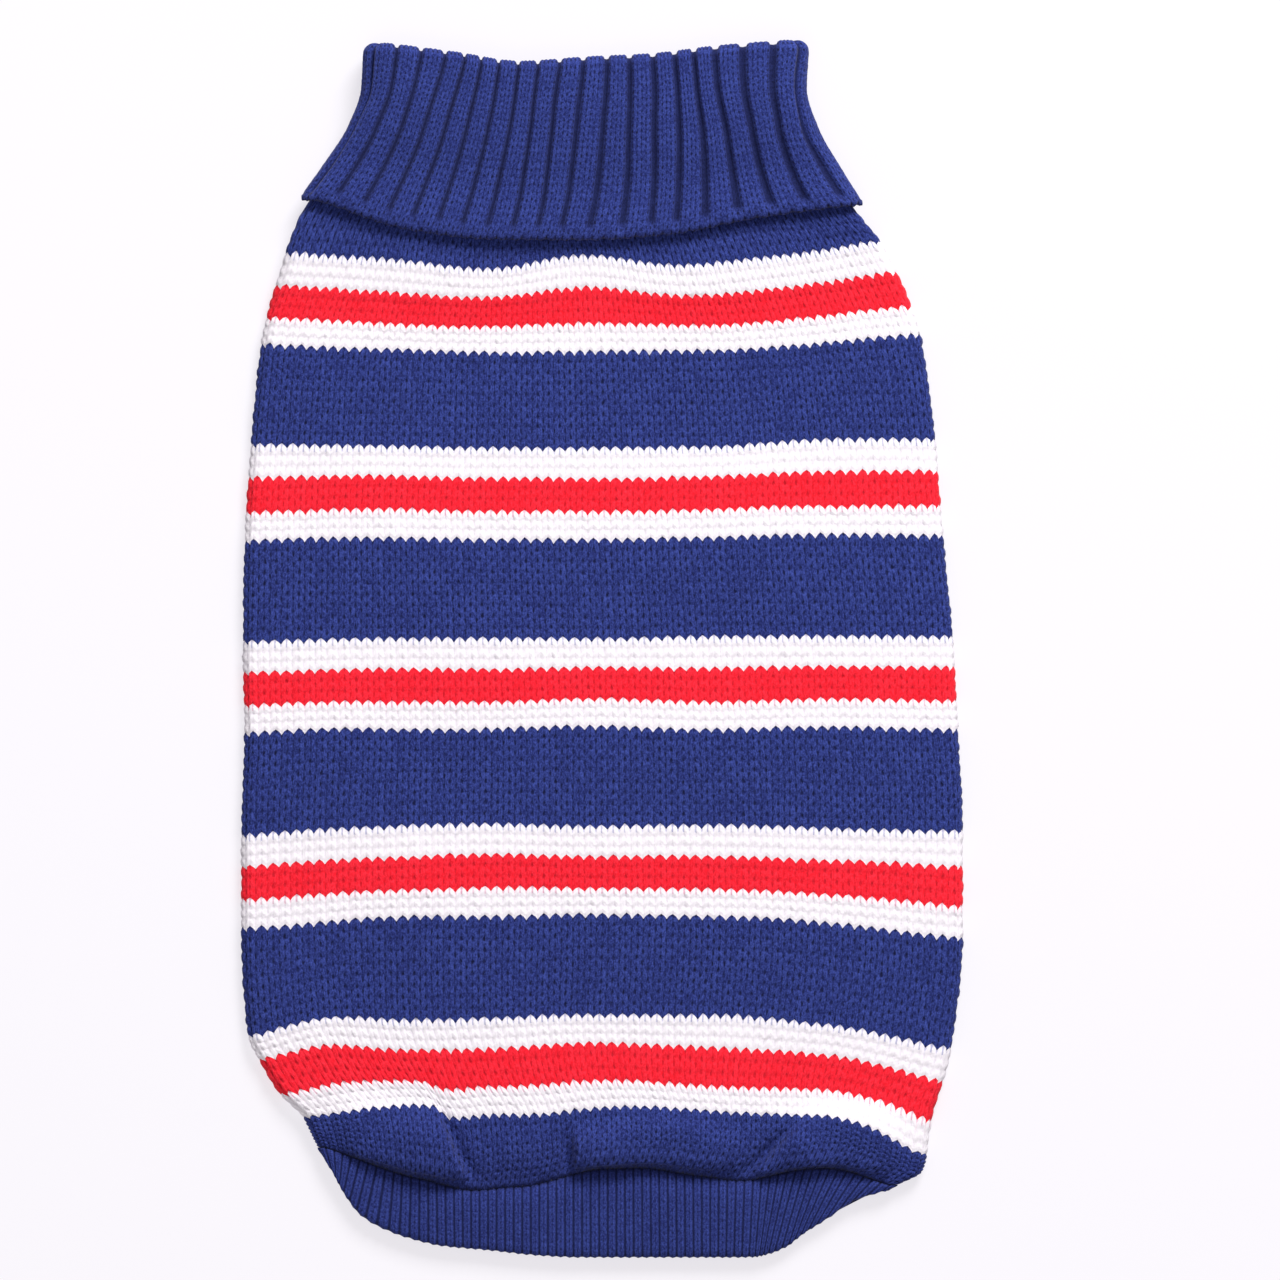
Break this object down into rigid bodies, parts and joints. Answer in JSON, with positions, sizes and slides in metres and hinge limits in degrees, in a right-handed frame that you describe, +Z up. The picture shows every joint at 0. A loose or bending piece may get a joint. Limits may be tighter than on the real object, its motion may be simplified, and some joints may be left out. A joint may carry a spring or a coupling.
{
  "type": "dog sweater",
  "caption": "Striped knit dog sweater laid flat, back up, with a turned-down rib collar, a rib hem band and leg openings underneath.",
  "frame": {"origin": "centre of the garment's outline from above, on the surface it lies on", "axes": "+Y towards the collar along the back, +X to the garment's right side as seen from above with the collar away, +Z up from the surface"},
  "size_m": [0.221, 0.3723, 0.0161],
  "materials": {
    "body_knit": "matt acrylic stockinette knit, navy with white and red stripes",
    "collar_rib": "matt acrylic rib knit, navy",
    "hem_rib": "matt acrylic fine rib knit, navy",
    "leg_rib": "matt acrylic fine rib knit, navy"
  },
  "bodies": {
    "root": {"back_panel": "body_knit", "belly_panel": "body_knit", "collar": "collar_rib", "hem_band": "hem_rib", "leg_band_left": "leg_rib", "leg_band_right": "leg_rib"}
  },
  "joints": []
}
